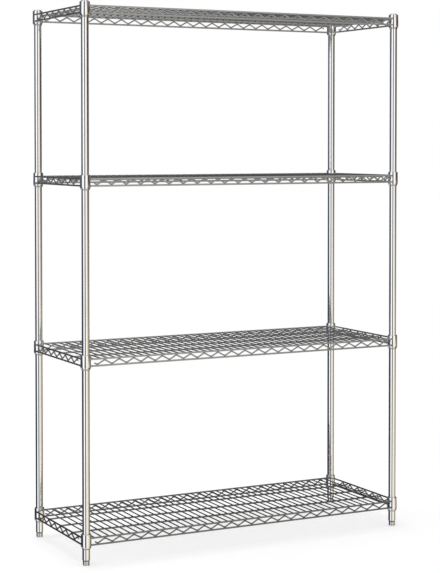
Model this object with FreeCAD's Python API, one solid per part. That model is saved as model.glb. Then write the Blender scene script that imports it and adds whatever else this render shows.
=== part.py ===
import FreeCAD, Part
import math
import os

# Chrome wire shelving unit: four grooved posts and four lift-off shelves on tapered split sleeves.
# The origin is on the floor midway between the posts. X runs along the front to the right,
# Y runs to the back and Z is up. All sizes are in millimetres.

# Posts
post_span_x = 1185.0            # between post axes along the front
post_span_y = 425.0             # between post axes front to back
post_diameter = 25.4
post_wall = 1.2
post_rise = 2.4                 # tube that stands above the top shelf's collars
groove_pitch = 25.4
groove_width = 2.0
groove_depth = 0.4
groove_end_margin = 6.0         # plain tube kept at each end

# Shelf places, counted in post grooves above the lowest shelf
shelf_base = 52.5               # underside of the lowest sleeves above the floor
shelf_grooves = {
    "bottom_shelf": 0,
    "lower_middle_shelf": 23,
    "upper_middle_shelf": 46,
    "top_shelf": 68,
}

# Split sleeves that snap on the posts
sleeve_height = 49.0
sleeve_lip_height = 5.0
sleeve_lip_wall = 0.6
sleeve_top_wall = 1.5
sleeve_taper = 1.2              # growth of the outer radius from the top down to the lip
sleeve_clearance = 0.2
sleeve_bead_height = 24.5       # bead above the sleeve's underside
split_gap = 0.4
split_step = 1.6

# Collars that wedge on the sleeves
collar_clearance = 0.3
collar_wall = 2.4
collar_foot_wall = 0.5
collar_shoulder_wall = 1.75
collar_shoulder_height = 5.0
collar_top_cover = 1.0          # collar that stands above the sleeve
collar_top_chamfer = 0.9

# Shelf wires
rail_diameter = 6.0
rail_offset = 12.0              # rails lie this far outside the post axes
rail_top_height = 36.9          # rail centres above the sleeve's underside
rail_bottom_height = 14.5
zigzag_diameter = 5.0
zigzag_half_pitch = 25.9
zigzag_bend_radius = 10.0
zigzag_end_margin = 35.0        # last bends keep this far from the post axes
zigzag_stub = 5.0               # straight end past the last bend
deck_diameter = 4.3
deck_pitch = 25.76
deck_margin = 20.0              # outermost deck wires keep this far from the post axes
stringer_diameter = 5.8
stringer_count = 3
weld_gap = 0.05

# Levelling feet, their stems and the inserts that take them
foot_diameter = 22.0
foot_height = 16.0
foot_chamfer = 0.8
foot_socket_depth = 10.0
stem_diameter = 9.525
stem_chamfer = 1.0
stem_past_insert = 3.0
stem_clearance = 0.1
seat_clearance = 0.3
insert_flange_thickness = 1.7
insert_flange_inset = 0.7
insert_length = 25.0
insert_clearance = 0.05
insert_chamfer = 1.0

# Post caps
cap_rim = 1.0
cap_dome = 2.2
cap_plug_length = 12.0
cap_plug_wall = 1.4

# Radii and heights that follow from the driving dimensions
post_radius = post_diameter / 2
bore_radius = post_radius - post_wall
rail_radius = rail_diameter / 2
zigzag_radius = zigzag_diameter / 2
deck_radius = deck_diameter / 2
stringer_radius = stringer_diameter / 2
stem_radius = stem_diameter / 2
sleeve_bore = post_radius + sleeve_clearance
sleeve_top_radius = sleeve_bore + sleeve_top_wall
sleeve_lip_radius = sleeve_top_radius + sleeve_taper
collar_bottom = sleeve_lip_height
collar_top = sleeve_height + collar_top_cover
insert_underside = foot_height + seat_clearance
post_bottom = insert_underside + insert_flange_thickness
post_top = shelf_base + max(shelf_grooves.values()) * groove_pitch + collar_top + post_rise
groove_datum = shelf_base + sleeve_bead_height

corners = {
    "front_left": (-1, -1),
    "front_right": (1, -1),
    "back_left": (-1, 1),
    "back_right": (1, 1),
}
up = FreeCAD.Vector(0, 0, 1)
origin = FreeCAD.Vector(0, 0, 0)


def corner_axis(name):
    """Foot of a post's axis on the floor."""
    side, depth = corners[name]
    return FreeCAD.Vector(side * post_span_x / 2, depth * post_span_y / 2, 0)


def revolved(edges_or_points):
    """Solid of revolution about Z from a closed outline of (radius, height) points or of edges."""
    if isinstance(edges_or_points[0], tuple):
        points = [FreeCAD.Vector(radius, 0, height) for radius, height in edges_or_points]
        wire = Part.makePolygon(points + points[:1])
    else:
        wire = Part.Wire(edges_or_points)
    return Part.Face(wire).revolve(origin, up, 360)


def placed(shape, offset):
    """Copy of a shape moved by a vector."""
    copy = shape.copy()
    copy.translate(offset)
    return copy


def at_corners(shape, sides=(-1, 1)):
    """One copy of a shape on each post axis, or on those of one side."""
    return [placed(shape, corner_axis(name)) for name in corners if corners[name][0] in sides]


# Posts: tubes with a V groove rolled in at every pitch

def post():
    first = math.ceil((post_bottom + groove_end_margin - groove_datum) / groove_pitch)
    last = math.floor((post_top - groove_end_margin - groove_datum) / groove_pitch)
    outline = [(bore_radius, post_bottom), (post_radius, post_bottom)]
    for count in range(first, last + 1):
        height = groove_datum + count * groove_pitch
        outline.append((post_radius, height - groove_width / 2))
        outline.append((post_radius - groove_depth, height))
        outline.append((post_radius, height + groove_width / 2))
    outline += [(post_radius, post_top), (bore_radius, post_top)]
    return revolved(outline)


# Post caps: domed heads on hollow plugs

def post_cap():
    plug_radius = bore_radius - insert_clearance
    plug_bottom = post_top - cap_plug_length
    rim_top = post_top + cap_rim
    dome_top = rim_top + cap_dome
    dome_radius = (post_radius ** 2 + cap_dome ** 2) / (2 * cap_dome)
    half_angle = math.asin(post_radius / dome_radius) / 2
    dome_middle = (dome_radius * math.sin(half_angle),
                   dome_top - dome_radius * (1 - math.cos(half_angle)))
    corners_of_outline = [
        (0, dome_top), (0, post_top), (plug_radius - cap_plug_wall, post_top),
        (plug_radius - cap_plug_wall, plug_bottom), (plug_radius, plug_bottom),
        (plug_radius, post_top), (post_radius, post_top), (post_radius, rim_top),
    ]
    points = [FreeCAD.Vector(radius, 0, height) for radius, height in corners_of_outline]
    edges = [Part.LineSegment(start, end).toShape() for start, end in zip(points, points[1:])]
    middle = FreeCAD.Vector(dome_middle[0], 0, dome_middle[1])
    edges.append(Part.Arc(points[-1], middle, points[0]).toShape())
    return revolved(edges)


# Levelling gear at the foot of each post

def threaded_insert():
    body_radius = bore_radius - insert_clearance
    hole = stem_radius + stem_clearance
    flange_radius = post_radius - insert_flange_inset
    top = post_bottom + insert_length
    return revolved([
        (hole, insert_underside), (flange_radius, insert_underside), (flange_radius, post_bottom),
        (body_radius, post_bottom), (body_radius, top - insert_chamfer),
        (body_radius - insert_chamfer, top), (hole, top),
    ])


def levelling_stem():
    bottom = foot_height - foot_socket_depth + seat_clearance
    top = post_bottom + insert_length + stem_past_insert
    return revolved([
        (0, bottom), (stem_radius, bottom), (stem_radius, top - stem_chamfer),
        (stem_radius - stem_chamfer, top), (0, top),
    ])


def levelling_foot():
    radius = foot_diameter / 2
    socket = stem_radius + stem_clearance
    socket_floor = foot_height - foot_socket_depth
    return revolved([
        (0, 0), (radius - foot_chamfer, 0), (radius, foot_chamfer),
        (radius, foot_height - foot_chamfer), (radius - foot_chamfer, foot_height),
        (socket, foot_height), (socket, socket_floor), (0, socket_floor),
    ])


# Split sleeves: two like halves with a bead in the post's groove and a stepped joint

def sleeve_split():
    half = split_gap / 2
    step_low = sleeve_height / 3
    step_high = sleeve_height * 2 / 3
    below = -sleeve_lip_height
    above = sleeve_height + sleeve_lip_height
    runs = [
        (-half, half, below, step_low + half),
        (-half, split_step + half, step_low - half, step_low + half),
        (split_step - half, split_step + half, step_low - half, step_high + half),
        (-half, split_step + half, step_high - half, step_high + half),
        (-half, half, step_high - half, above),
    ]
    reach = 2 * sleeve_lip_radius
    slots = []
    for y_low, y_high, z_low, z_high in runs:
        corner = FreeCAD.Vector(0, y_low, z_low)
        slot = Part.makeBox(reach, y_high - y_low, z_high - z_low, corner)
        opposite = slot.copy()
        opposite.rotate(origin, up, 180)
        slots += [slot, opposite]
    return slots


def sleeve_halves():
    ring = revolved([
        (sleeve_bore, 0), (sleeve_bore + sleeve_lip_wall, 0),
        (sleeve_lip_radius, sleeve_lip_height), (sleeve_top_radius, sleeve_height),
        (sleeve_bore, sleeve_height), (sleeve_bore, sleeve_bead_height + groove_width / 2),
        (sleeve_bore - groove_depth, sleeve_bead_height),
        (sleeve_bore, sleeve_bead_height - groove_width / 2),
    ])
    return ring.cut(sleeve_split()).Solids


# Shelves, drawn with the underside of their sleeves at zero

def collar_bore(height):
    """Radius of the collar's tapered bore at a height."""
    fall = sleeve_taper / (sleeve_height - sleeve_lip_height)
    return sleeve_lip_radius + collar_clearance - fall * (height - sleeve_lip_height)


def collar_outline():
    """Outer corners of a collar from its foot to its top."""
    shoulder = collar_bottom + collar_shoulder_height
    rim = collar_top - collar_top_chamfer
    return [
        (collar_bore(collar_bottom) + collar_foot_wall, collar_bottom),
        (collar_bore(shoulder) + collar_shoulder_wall, shoulder),
        (collar_bore(rim) + collar_wall, rim),
        (collar_bore(collar_top) + collar_wall - collar_top_chamfer, collar_top),
    ]


def collar():
    inner = [(collar_bore(collar_top), collar_top), (collar_bore(collar_bottom), collar_bottom)]
    return revolved(collar_outline() + inner)


def collar_room():
    """Space of a collar and its bore, which the rails end against."""
    outer = [(radius + weld_gap, height) for radius, height in collar_outline()]
    return revolved([(0, collar_bottom)] + outer + [(0, collar_top)])


def zigzag_wire(span):
    """Wavy wire along X between two rails, with its rails' mid height at zero."""
    room = rail_top_height - rail_bottom_height - rail_diameter - zigzag_diameter
    rise = room - 2 * weld_gap
    centre = zigzag_bend_radius - rise / 2
    tilt = math.atan2(-2 * centre, zigzag_half_pitch)
    distance = math.hypot(2 * centre, zigzag_half_pitch)
    slope = tilt + math.asin(2 * zigzag_bend_radius / distance)
    runs = math.floor((span - 2 * zigzag_end_margin) / zigzag_half_pitch)
    runs -= 1 - runs % 2
    across = zigzag_bend_radius * math.sin(slope)
    along = zigzag_bend_radius * math.cos(slope)
    run_x = zigzag_stub * math.cos(slope)
    run_z = zigzag_stub * math.sin(slope)

    # Each bend is an arc whose centre lies on the far side of the wire's middle line
    edges = []
    last_point = None
    for count in range(runs + 1):
        side = -1 if count % 2 == 0 else 1
        x = (count - runs / 2) * zigzag_half_pitch
        middle_z = -side * centre
        start = FreeCAD.Vector(x - across, 0, middle_z + side * along)
        crest = FreeCAD.Vector(x, 0, middle_z + side * zigzag_bend_radius)
        end = FreeCAD.Vector(x + across, 0, middle_z + side * along)
        if last_point is None:
            last_point = start + FreeCAD.Vector(-run_x, 0, -side * run_z)
        edges.append(Part.LineSegment(last_point, start).toShape())
        edges.append(Part.Arc(start, crest, end).toShape())
        last_point = end
    tail = last_point + FreeCAD.Vector(run_x, 0, -side * run_z)
    edges.append(Part.LineSegment(last_point, tail).toShape())

    path = Part.Wire(edges)
    begin = path.OrderedVertexes[0].Point
    heading = edges[0].tangentAt(edges[0].FirstParameter)
    section = Part.Wire(Part.makeCircle(zigzag_radius, begin, heading))
    return path.makePipeShell([section], True, False)


def truss(span, depth):
    """Two rails and their zigzag along X, set outside the post axes on the side of depth."""
    y = depth * rail_offset
    rooms = [placed(collar_room(), FreeCAD.Vector(side * span / 2, 0, 0)) for side in (-1, 1)]
    pieces = []
    for height in (rail_top_height, rail_bottom_height):
        start = FreeCAD.Vector(-span / 2, y, height)
        rail = Part.makeCylinder(rail_radius, span, start, FreeCAD.Vector(1, 0, 0))
        pieces += rail.cut(rooms).Solids
    middle = FreeCAD.Vector(0, y, (rail_top_height + rail_bottom_height) / 2)
    pieces.append(placed(zigzag_wire(span), middle))
    return pieces


def turned(shapes, degrees):
    """Copies of shapes turned about Z."""
    copies = [shape.copy() for shape in shapes]
    for copy in copies:
        copy.rotate(origin, up, degrees)
    return copies


def trusses():
    """The four sides of a shelf frame, each as a list of solids."""
    along_y = FreeCAD.Vector(0, post_span_y / 2, 0)
    along_x = FreeCAD.Vector(post_span_x / 2, 0, 0)
    front = [placed(shape, -along_y) for shape in truss(post_span_x, -1)]
    back = [placed(shape, along_y) for shape in truss(post_span_x, 1)]
    left = [placed(shape, -along_x) for shape in turned(truss(post_span_y, -1), -90)]
    right = [placed(shape, along_x) for shape in turned(truss(post_span_y, 1), -90)]
    return {"front_truss": front, "back_truss": back, "left_truss": left, "right_truss": right}


def deck_wires():
    """Round wires from the front top rail to the back top rail."""
    length = post_span_y + 2 * rail_offset - rail_diameter - 2 * weld_gap
    wires_each_side = math.floor((post_span_x / 2 - deck_margin) / deck_pitch)
    wires = []
    for count in range(-wires_each_side, wires_each_side + 1):
        start = FreeCAD.Vector(count * deck_pitch, -length / 2, rail_top_height)
        wires.append(Part.makeCylinder(deck_radius, length, start, FreeCAD.Vector(0, 1, 0)))
    return wires


def stringers():
    """Long wires under the deck wires, from the left top rail to the right one."""
    below_rail = deck_radius + weld_gap
    rail_reach = math.sqrt(max(0.0, rail_radius ** 2 - below_rail ** 2))
    end = post_span_x / 2 + rail_offset - max(rail_reach, zigzag_radius) - weld_gap
    height = rail_top_height - below_rail - stringer_radius
    spacing = post_span_y / (stringer_count + 1)
    rods = []
    for count in range(stringer_count):
        y = (count - (stringer_count - 1) / 2) * spacing
        start = FreeCAD.Vector(-end, y, height)
        rods.append(Part.makeCylinder(stringer_radius, 2 * end, start, FreeCAD.Vector(1, 0, 0)))
    return rods


# All nodes by name, each with its list of solids

def post_nodes():
    pieces = {
        "post": post(),
        "post_cap": post_cap(),
        "threaded_insert": threaded_insert(),
        "levelling_stem": levelling_stem(),
        "levelling_foot": levelling_foot(),
    }
    nodes = {}
    for corner in corners:
        for piece, shape in pieces.items():
            nodes[corner + "_" + piece] = [placed(shape, corner_axis(corner))]
    return nodes


def shelf_nodes():
    pieces = trusses()
    pieces["deck_wires"] = deck_wires()
    pieces["stringers"] = stringers()
    pieces["collars"] = at_corners(collar())
    halves = sleeve_halves()
    for side, direction in (("left", -1), ("right", 1)):
        pieces[side + "_sleeves"] = [copy for half in halves for copy in at_corners(half, (direction,))]
    nodes = {}
    for shelf, grooves in shelf_grooves.items():
        lift = FreeCAD.Vector(0, 0, shelf_base + grooves * groove_pitch)
        for piece, solids in pieces.items():
            nodes[shelf + "_" + piece] = [placed(solid, lift) for solid in solids]
    return nodes


os.makedirs("parts", exist_ok=True)
for node, solids in {**post_nodes(), **shelf_nodes()}.items():
    shape = solids[0] if len(solids) == 1 else Part.makeCompound(solids)
    shape.exportStep("parts/" + node + ".step")
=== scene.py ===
import math

import bmesh
import bpy
from bpy.props import FloatProperty, FloatVectorProperty, IntProperty, PointerProperty
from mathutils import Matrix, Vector


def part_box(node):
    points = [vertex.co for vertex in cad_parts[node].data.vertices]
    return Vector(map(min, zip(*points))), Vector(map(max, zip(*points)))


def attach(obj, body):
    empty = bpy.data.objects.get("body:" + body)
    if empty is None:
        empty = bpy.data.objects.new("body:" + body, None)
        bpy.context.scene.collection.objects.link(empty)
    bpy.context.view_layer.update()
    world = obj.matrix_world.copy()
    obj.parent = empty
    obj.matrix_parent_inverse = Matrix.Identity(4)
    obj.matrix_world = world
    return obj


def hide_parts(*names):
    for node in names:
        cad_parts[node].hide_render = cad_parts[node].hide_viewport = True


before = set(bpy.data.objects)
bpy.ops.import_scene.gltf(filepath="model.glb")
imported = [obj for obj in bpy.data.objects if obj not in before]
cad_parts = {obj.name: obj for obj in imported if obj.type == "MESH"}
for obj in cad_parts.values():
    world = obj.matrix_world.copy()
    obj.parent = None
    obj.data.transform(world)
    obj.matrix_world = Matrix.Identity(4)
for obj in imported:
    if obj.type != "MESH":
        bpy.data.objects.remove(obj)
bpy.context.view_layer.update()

bl_info = {
    "name": "Chrome Wire Shelving",
    "version": (1, 0, 0),
    "blender": (4, 5, 0),
    "location": "View3D > Sidebar > Shelving",
    "description": "Dresses a wire shelving unit in bright plate, welds and threads, and sets its studio",
    "category": "Object",
}

CORNERS = ("front_left", "front_right", "back_left", "back_right")
SHELVES = ("bottom_shelf", "lower_middle_shelf", "upper_middle_shelf", "top_shelf")
MM = 0.001


def size_of(node):
    """Length, depth and height of a solid, to a tenth of a millimetre."""
    low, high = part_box(node)
    return Vector(round(value, 4) for value in high - low)


def centre_of(node):
    """Middle of a solid's box."""
    low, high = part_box(node)
    return (low + high) / 2


# Sizes that the solids give
POST_AXES = {corner: centre_of(corner + "_post") for corner in CORNERS}
SPAN_X = round(POST_AXES["front_right"].x - POST_AXES["front_left"].x, 4)
SPAN_Y = round(POST_AXES["back_left"].y - POST_AXES["front_left"].y, 4)
RAIL_DIAMETER = size_of("bottom_shelf_front_truss").y
RAIL_OFFSET = round(-centre_of("bottom_shelf_front_truss").y - SPAN_Y / 2, 4)
DECK_SIZE = size_of("bottom_shelf_deck_wires")
STRINGER_SIZE = size_of("bottom_shelf_stringers")


# Properties

def length_property(name, description, default):
    """A length that the user can set."""
    return FloatProperty(name=name, description=description, default=default, min=0.0, precision=5,
                         subtype="DISTANCE", unit="LENGTH")


def count_property(name, description, default, low):
    """A whole number that the user can set."""
    return IntProperty(name=name, description=description, default=default, min=low)


def colour_property(name, description, default):
    """A linear colour that the user can set."""
    return FloatVectorProperty(name=name, description=description, default=default, min=0.0, max=1.0,
                               size=3, subtype="COLOR")


class ShelvingSizes(bpy.types.PropertyGroup):
    """Sizes of the posts, wires, welds and turned pieces."""
    post_wall: length_property("Post Wall", "Wall of the post tubes", 1.2 * MM)
    groove_pitch: length_property("Groove Pitch", "Step from groove to groove on a post", 25.4 * MM)
    groove_width: length_property("Groove Width", "Width of a rolled groove", 1.2 * MM)
    groove_depth: length_property("Groove Depth", "Depth of a rolled groove", 0.05 * MM)
    groove_margin: length_property("Groove Margin", "Plain tube kept at each end of a post", 6.0 * MM)
    rail_diameter: length_property("Rail Diameter", "Wire of the shelf rails", RAIL_DIAMETER)
    zigzag_diameter: length_property("Zigzag Diameter", "Wire of the zigzags", 5.0 * MM)
    zigzag_half_pitch: length_property("Zigzag Half Pitch", "Run from a valley to a peak", 25.9 * MM)
    zigzag_bend: length_property("Zigzag Bend", "Radius of the zigzag's bends", 10.0 * MM)
    zigzag_margin: length_property("Zigzag Margin", "Room between a post axis and the last bend", 35.0 * MM)
    zigzag_stub: length_property("Zigzag Stub", "Straight end past the last bend", 5.0 * MM)
    deck_diameter: length_property("Deck Diameter", "Wires across the shelf", DECK_SIZE.z)
    deck_count: count_property("Deck Wires", "Wires across each shelf", 45, 3)
    stringer_diameter: length_property("Stringer Diameter", "Long wires under the deck", STRINGER_SIZE.z)
    stringer_count: count_property("Stringers", "Long wires under each deck", 3, 2)
    cope_radius: length_property("Cope Radius", "Hollow cut in the rail ends round the collars", 16.7 * MM)
    bead_growth: length_property("Weld Growth", "Metal that a weld adds round a wire", 0.4 * MM)
    collar_foot: length_property("Collar Foot", "Radius at the foot of a collar", 16.4 * MM)
    collar_shoulder: length_property("Collar Shoulder", "Radius at the shoulder of a collar", 17.51 * MM)
    collar_shoulder_height: length_property("Collar Shoulder Height", "Foot up to the shoulder", 5.0 * MM)
    collar_rim: length_property("Collar Rim", "Radius at the rim of a collar", 17.1 * MM)
    collar_rim_chamfer: length_property("Collar Rim Chamfer", "Slope at the top of a collar", 0.9 * MM)
    collar_bore_low: length_property("Collar Bore Low", "Bore at the foot of a collar", 15.9 * MM)
    collar_bore_high: length_property("Collar Bore High", "Bore at the top of a collar", 14.67 * MM)
    edge_round: length_property("Edge Rounding", "Rounding of turned edges", 0.45 * MM)
    cap_rim: length_property("Cap Rim", "Straight rim under the dome of a cap", 1.0 * MM)
    cap_plug: length_property("Cap Plug", "Radius of the plug under a cap", 11.45 * MM)
    cap_plug_wall: length_property("Cap Plug Wall", "Wall of the hollow plug", 1.4 * MM)
    foot_chamfer: length_property("Foot Chamfer", "Slope at the bottom edge of a foot", 0.8 * MM)
    foot_shoulder: length_property("Foot Shoulder", "Slope at the top edge of a foot", 1.6 * MM)
    foot_socket: length_property("Foot Socket", "Radius of the socket for the stem", 4.8625 * MM)
    foot_socket_depth: length_property("Foot Socket Depth", "Depth of the socket for the stem", 10.0 * MM)
    thread_pitch: length_property("Thread Pitch", "Step of the levelling thread", 1.5875 * MM)
    thread_depth: length_property("Thread Depth", "Height of the levelling thread", 0.75 * MM)
    wire_sides: count_property("Wire Sides", "Faces round a wire", 14, 6)
    turned_sides: count_property("Turned Sides", "Faces round a turned piece", 56, 12)


class ShelvingFinishes(bpy.types.PropertyGroup):
    """Colours of the plate, the steel and the plastics."""
    post_plate: colour_property("Post Plate", "Bright plate on the posts", (0.88, 0.885, 0.89))
    # Painted shade: the wire plates are darker copies of the posts' bright plate, standing in for the
    # darker surroundings that the wires reflect
    long_shaded_wire_plate: colour_property("Long Shaded Wire Plate", "Bright plate on the wires along the shelves",
                                     (0.455, 0.461, 0.476))
    cross_shaded_wire_plate: colour_property("Cross Shaded Wire Plate", "Bright plate on the wires across the shelves",
                                      (0.595, 0.599, 0.608))
    # Painted shade: share by which the wires are painted darker at the floor, for their darker surroundings
    # there
    wire_floor_shade: FloatProperty(name="Wire Floor Shade", description="Brightness lost on wires near the floor",
                                default=0.47, min=0.0, max=1.0, subtype="FACTOR")
    collar_plate: colour_property("Collar Plate", "Bright plate on the collars", (0.88, 0.885, 0.89))
    foot_plate: colour_property("Foot Plate", "Bright plate on the feet", (0.66, 0.67, 0.68))
    stem_zinc: colour_property("Stem Zinc", "Zinc on the levelling stems", (0.55, 0.55, 0.54))
    cap_plastic: colour_property("Cap Plastic", "Plastic of the post caps", (0.60, 0.61, 0.63))
    # Painted shade: the sleeves' plate is darker than the collars', standing in for the shadow line at the
    # collar rims
    sleeve_plastic: colour_property("Sleeve Shaded Plastic", "Metallised plastic of the split sleeves",
                                    (0.50, 0.50, 0.495))
    insert_plastic: colour_property("Insert Plastic", "Plastic of the threaded inserts",
                                    (0.020, 0.020, 0.022))


class ShelvingStudio(bpy.types.PropertyGroup):
    """Camera, floor and light."""
    camera_place: FloatVectorProperty(name="Camera Place", description="Where the camera stands", size=3,
                                      default=(-2.56407, -4.99202, 1.37266), subtype="TRANSLATION")
    camera_turn: FloatProperty(name="Camera Turn", description="Turn of the view to the right of +Y",
                               default=math.radians(27.365), subtype="ANGLE")
    camera_dip: FloatProperty(name="Camera Dip", description="Dip of the view below level",
                              default=math.radians(1.797), subtype="ANGLE")
    camera_lens: FloatProperty(name="Camera Lens", description="Focal length in millimetres",
                               default=100.165)
    camera_shift: FloatVectorProperty(name="Camera Shift", description="Lens shift", size=2,
                                      default=(-0.0056, -0.16245))
    floor_colour: colour_property("Floor Colour", "Pale floor", (0.90, 0.90, 0.90))
    floor_glow: FloatProperty(name="Floor Glow", description="Share of plain white in the floor",
                              default=0.58, min=0.0, max=1.0, subtype="FACTOR")
    key_power: FloatProperty(name="Key Power", description="Power of the overhead lamp", default=202.0)
    room_level: FloatProperty(name="Room Level", description="Strength of the studio's walls", default=1.0)


class ShelvingSettings(bpy.types.PropertyGroup):
    """All settings of the shelving unit."""
    sizes: PointerProperty(type=ShelvingSizes)
    finishes: PointerProperty(type=ShelvingFinishes)
    studio: PointerProperty(type=ShelvingStudio)


# Node trees

def on_left(operation):
    """Method for a signal that stands to the left of its operator."""
    return lambda self, other: self.maths(operation, self, other)


def on_right(operation):
    """Method for a signal that stands to the right of its operator."""
    return lambda self, other: self.maths(operation, other, self)


def alone(operation):
    """Method for a signal that is worked on by itself."""
    return lambda self: self.maths(operation, self)


class Signal:
    """A value on its way through a node tree. Arithmetic on it adds Math nodes."""
    __add__ = on_left("ADD")
    __radd__ = on_right("ADD")
    __sub__ = on_left("SUBTRACT")
    __rsub__ = on_right("SUBTRACT")
    __mul__ = on_left("MULTIPLY")
    __rmul__ = on_right("MULTIPLY")
    __truediv__ = on_left("DIVIDE")
    __rtruediv__ = on_right("DIVIDE")
    __lt__ = on_left("LESS_THAN")
    __gt__ = on_left("GREATER_THAN")
    __mod__ = on_left("FLOORED_MODULO")
    at_least = on_left("MAXIMUM")
    at_most = on_left("MINIMUM")
    absolute = alone("ABSOLUTE")
    floor = alone("FLOOR")
    cos = alone("COSINE")
    sin = alone("SINE")

    def __init__(self, tree, socket=None):
        self.tree = tree
        self.socket = socket

    def add(self, kind, options=None, inputs=None, output=0):
        """Adds a node, sets it up, fills or links its sockets and gives one of its outputs."""
        node = self.tree.nodes.new(kind)
        for key, value in (options or {}).items():
            if key == "stops":
                set_stops(node.color_ramp, value)
            else:
                setattr(node, key, value)
        open_inputs = [socket for socket in node.inputs if socket.enabled]
        for key, value in (inputs or {}).items():
            named = [socket for socket in open_inputs if socket.name == key]
            socket = open_inputs[key] if isinstance(key, int) else named[0]
            self.feed(socket, value)
        found = Signal(self.tree, node.outputs[0] if node.outputs else None)
        return found.out(output) if node.outputs else found

    def feed(self, socket, value):
        """Links one signal or several to a socket, or sets its value."""
        several = value if isinstance(value, list) else [value]
        if isinstance(several[0], Signal):
            for signal in several:
                self.tree.links.new(signal.socket, socket)
        else:
            socket.default_value = value

    def out(self, key):
        """Another output of the same node, by its name or its place."""
        outputs = [socket for socket in self.socket.node.outputs if socket.enabled]
        if isinstance(key, int):
            return Signal(self.tree, outputs[key])
        return Signal(self.tree, next(socket for socket in outputs if socket.name == key))

    def maths(self, operation, *values):
        """A Math node on these values, in order."""
        return self.add("ShaderNodeMath", {"operation": operation}, dict(enumerate(values)))

    def between(self, low, high):
        """Smooth step from 0 at low to 1 at high."""
        return self.add("ShaderNodeMapRange", {"interpolation_type": "SMOOTHSTEP"},
                        {"Value": self, "From Min": low, "From Max": high})

    def blend(self, first, second):
        """Mix of two colours, with this value as the factor."""
        return self.add("ShaderNodeMix", {"data_type": "RGBA"},
                        {"Factor": self, "A": opaque(first), "B": opaque(second)})


def opaque(colour):
    """A plain colour with full alpha, or a signal as it is."""
    return colour if isinstance(colour, Signal) else (*colour, 1.0)


def set_stops(ramp, stops):
    """Sets a ramp's stops from places and colours."""
    while len(ramp.elements) > 1:
        ramp.elements.remove(ramp.elements[0])
    for count, (place, colour) in enumerate(stops):
        element = ramp.elements[0] if count == 0 else ramp.elements.new(place)
        element.position = place
        element.color = opaque(colour)


def new_tree(name, **inputs):
    """A geometry tree and its inputs as signals: those listed here by kind, and a material."""
    tree = bpy.data.node_groups.new(name, "GeometryNodeTree")
    inputs["Material"] = ["Material"]
    for kind, labels in inputs.items():
        for label in labels:
            tree.interface.new_socket(label, in_out="INPUT", socket_type="NodeSocket" + kind)
    tree.interface.new_socket("Geometry", in_out="OUTPUT", socket_type="NodeSocketGeometry")
    first = Signal(tree).add("NodeGroupInput")
    return tree, {label: first.out(label) for labels in inputs.values() for label in labels}


def close_tree(shape, material):
    """Ends a geometry tree with real, smooth geometry in one material."""
    real = shape.add("GeometryNodeRealizeInstances", inputs={"Geometry": shape})
    smooth = real.add("GeometryNodeSetShadeSmooth", inputs={"Geometry": real})
    dressed = smooth.add("GeometryNodeSetMaterial", inputs={"Geometry": smooth, "Material": material})
    dressed.add("NodeGroupOutput", inputs={"Geometry": dressed})


def joined(*shapes):
    """Several geometries as one."""
    return shapes[0].add("GeometryNodeJoinGeometry", inputs={"Geometry": list(shapes)})


def vector(x, y, z):
    """Vector of three values, of which at least one is a signal."""
    source = next(value for value in (x, y, z) if isinstance(value, Signal))
    return source.add("ShaderNodeCombineXYZ", inputs={"X": x, "Y": y, "Z": z})


def split(signal):
    """The three values of a vector."""
    parts = signal.add("ShaderNodeSeparateXYZ", inputs={"Vector": signal})
    return parts.out("X"), parts.out("Y"), parts.out("Z")


def tube(path, diameter, sides, scale=1.0, caps=True):
    """Round tube along a path."""
    ring = path.add("GeometryNodeCurvePrimitiveCircle",
                    inputs={"Resolution": sides, "Radius": diameter * 0.5})
    return path.add("GeometryNodeCurveToMesh",
                    inputs={"Curve": path, "Profile Curve": ring, "Scale": scale, "Fill Caps": caps})


def placed_line(count, place):
    """Path through a number of points, each placed by a rule."""
    line = place.add("GeometryNodeMeshLine", inputs={"Count": count})
    moved = place.add("GeometryNodeSetPosition", inputs={"Geometry": line, "Position": place})
    return moved.add("GeometryNodeMeshToCurve", inputs={"Mesh": moved})


# Piece makers

CREASE = math.radians(38)
SAME_PLACE = 1e-7
ON_AXIS = 1e-6
CORNER_SHARE = 0.45
CORNER_STEPS = 3


def new_object(name, data):
    """Object at the origin that holds a mesh, a lamp or a camera."""
    piece = bpy.data.objects.new(name, data)
    bpy.context.scene.collection.objects.link(piece)
    return piece


def grown(name, tree, values, source=None):
    """Runs a geometry tree and keeps its result as a plain mesh."""
    piece = new_object(name, source or bpy.data.meshes.new(name))
    modifier = piece.modifiers.new("Shape", "NODES")
    modifier.node_group = tree
    for item in tree.interface.items_tree:
        if item.in_out == "INPUT" and item.socket_type != "NodeSocketGeometry":
            modifier[item.identifier] = values[item.name]
    keep_result(piece, modifier)
    return piece


def walled(piece, thickness):
    """Gives an open shell a wall towards its inside."""
    wall = piece.modifiers.new("Wall", "SOLIDIFY")
    wall.thickness = thickness
    wall.offset = -1.0
    keep_result(piece, wall)


def keep_result(piece, modifier):
    """Turns what a modifier makes into the piece's plain mesh."""
    graph = bpy.context.evaluated_depsgraph_get()
    mesh = bpy.data.meshes.new_from_object(piece.evaluated_get(graph), preserve_all_data_layers=True,
                                           depsgraph=graph)
    piece.modifiers.remove(modifier)
    piece.data = mesh
    mesh.name = piece.name
    tidy_mesh(mesh)


def tidy_mesh(mesh):
    """Turns the faces outwards and keeps hard edges crisp."""
    work = bmesh.new()
    work.from_mesh(mesh)
    bmesh.ops.remove_doubles(work, verts=work.verts, dist=SAME_PLACE)
    bmesh.ops.recalc_face_normals(work, faces=work.faces)
    for face in work.faces:
        face.smooth = True
    work.to_mesh(mesh)
    work.free()
    mesh.set_sharp_from_angle(angle=CREASE)


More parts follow.
